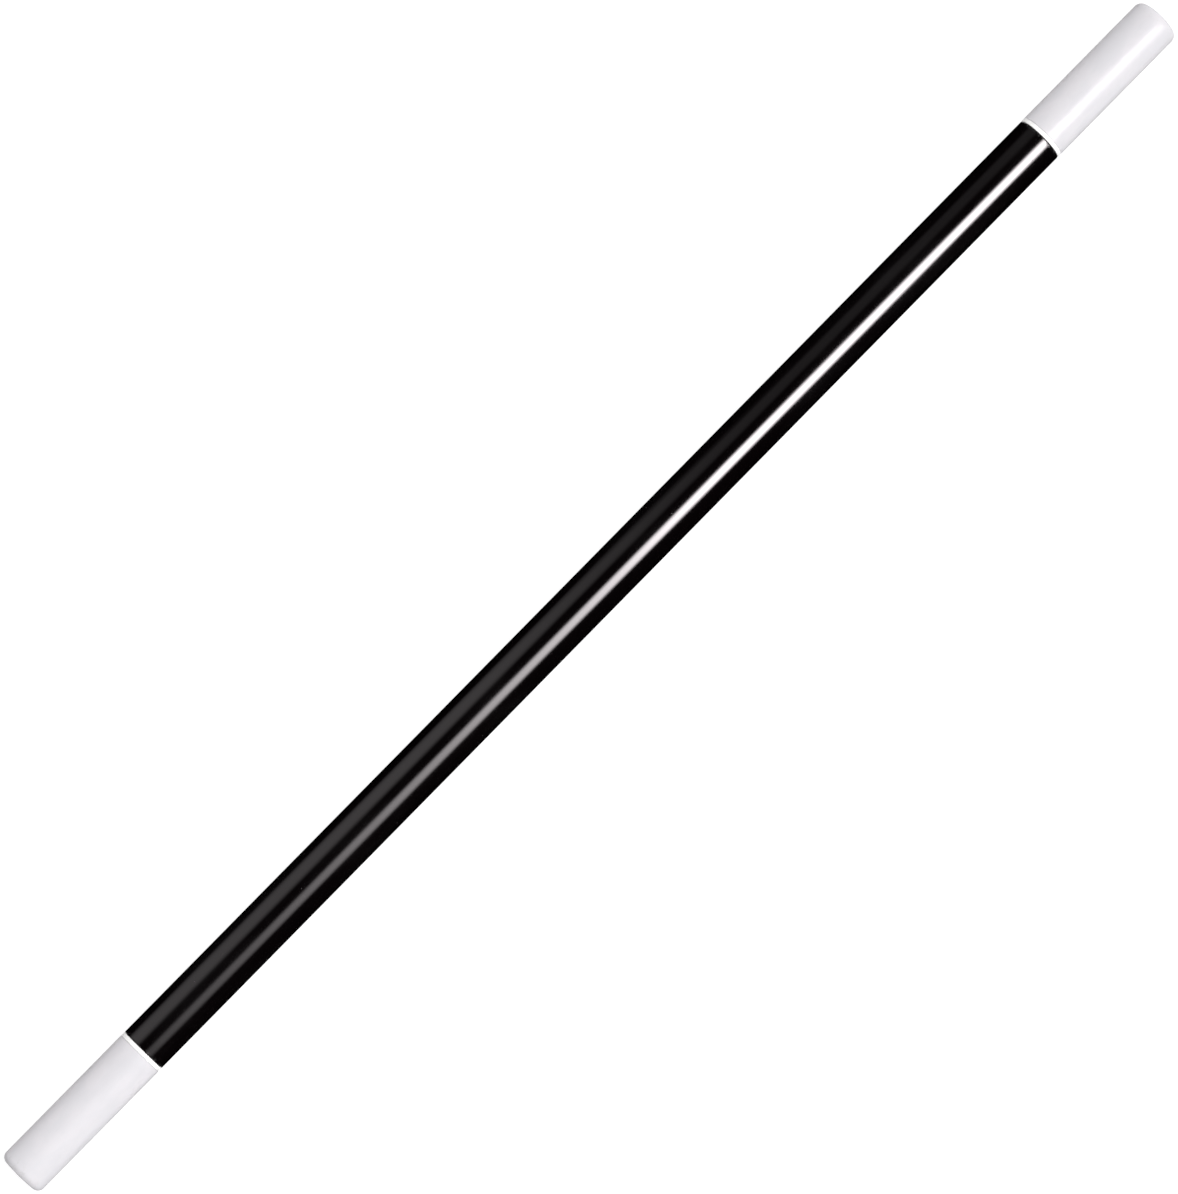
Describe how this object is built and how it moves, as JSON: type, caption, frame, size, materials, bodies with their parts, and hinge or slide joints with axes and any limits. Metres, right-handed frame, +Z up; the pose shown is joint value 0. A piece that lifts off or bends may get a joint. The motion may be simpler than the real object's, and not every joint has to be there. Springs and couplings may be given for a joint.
{
  "type": "magic wand",
  "caption": "Slim round stage magician's wand: hollow black tube with a white push-fit tip at each end that pulls off.",
  "frame": {"origin": "under the middle of the wand, on the surface it lies on: the middle of the bounding box's underside", "axes": "+X along the wand from the left tip to the right tip, +Z up"},
  "size_m": [0.3556, 0.0112, 0.0112],
  "materials": {
    "black_plastic": "extruded, polished to a high gloss, with faint draw lines and light handling marks",
    "white_plastic": "moulded, satin to semi-gloss, slightly cool white",
    "plug_plastic": "moulded, as it leaves the mould, a brighter and plainer white"
  },
  "bodies": {
    "shaft": {"shaft_tube": "black_plastic"},
    "left_tip": {"left_tip_cap": "white_plastic", "left_joining_plug": "plug_plastic"},
    "right_tip": {"right_tip_cap": "white_plastic", "right_joining_plug": "plug_plastic"}
  },
  "joints": [
    {"name": "left_tip_pull", "type": "slide", "parent": "shaft", "child": "left_tip", "axis": [-1, 0, 0], "range_m": [0, 0.03]},
    {"name": "right_tip_pull", "type": "slide", "parent": "shaft", "child": "right_tip", "axis": [1, 0, 0], "range_m": [0, 0.03]}
  ]
}
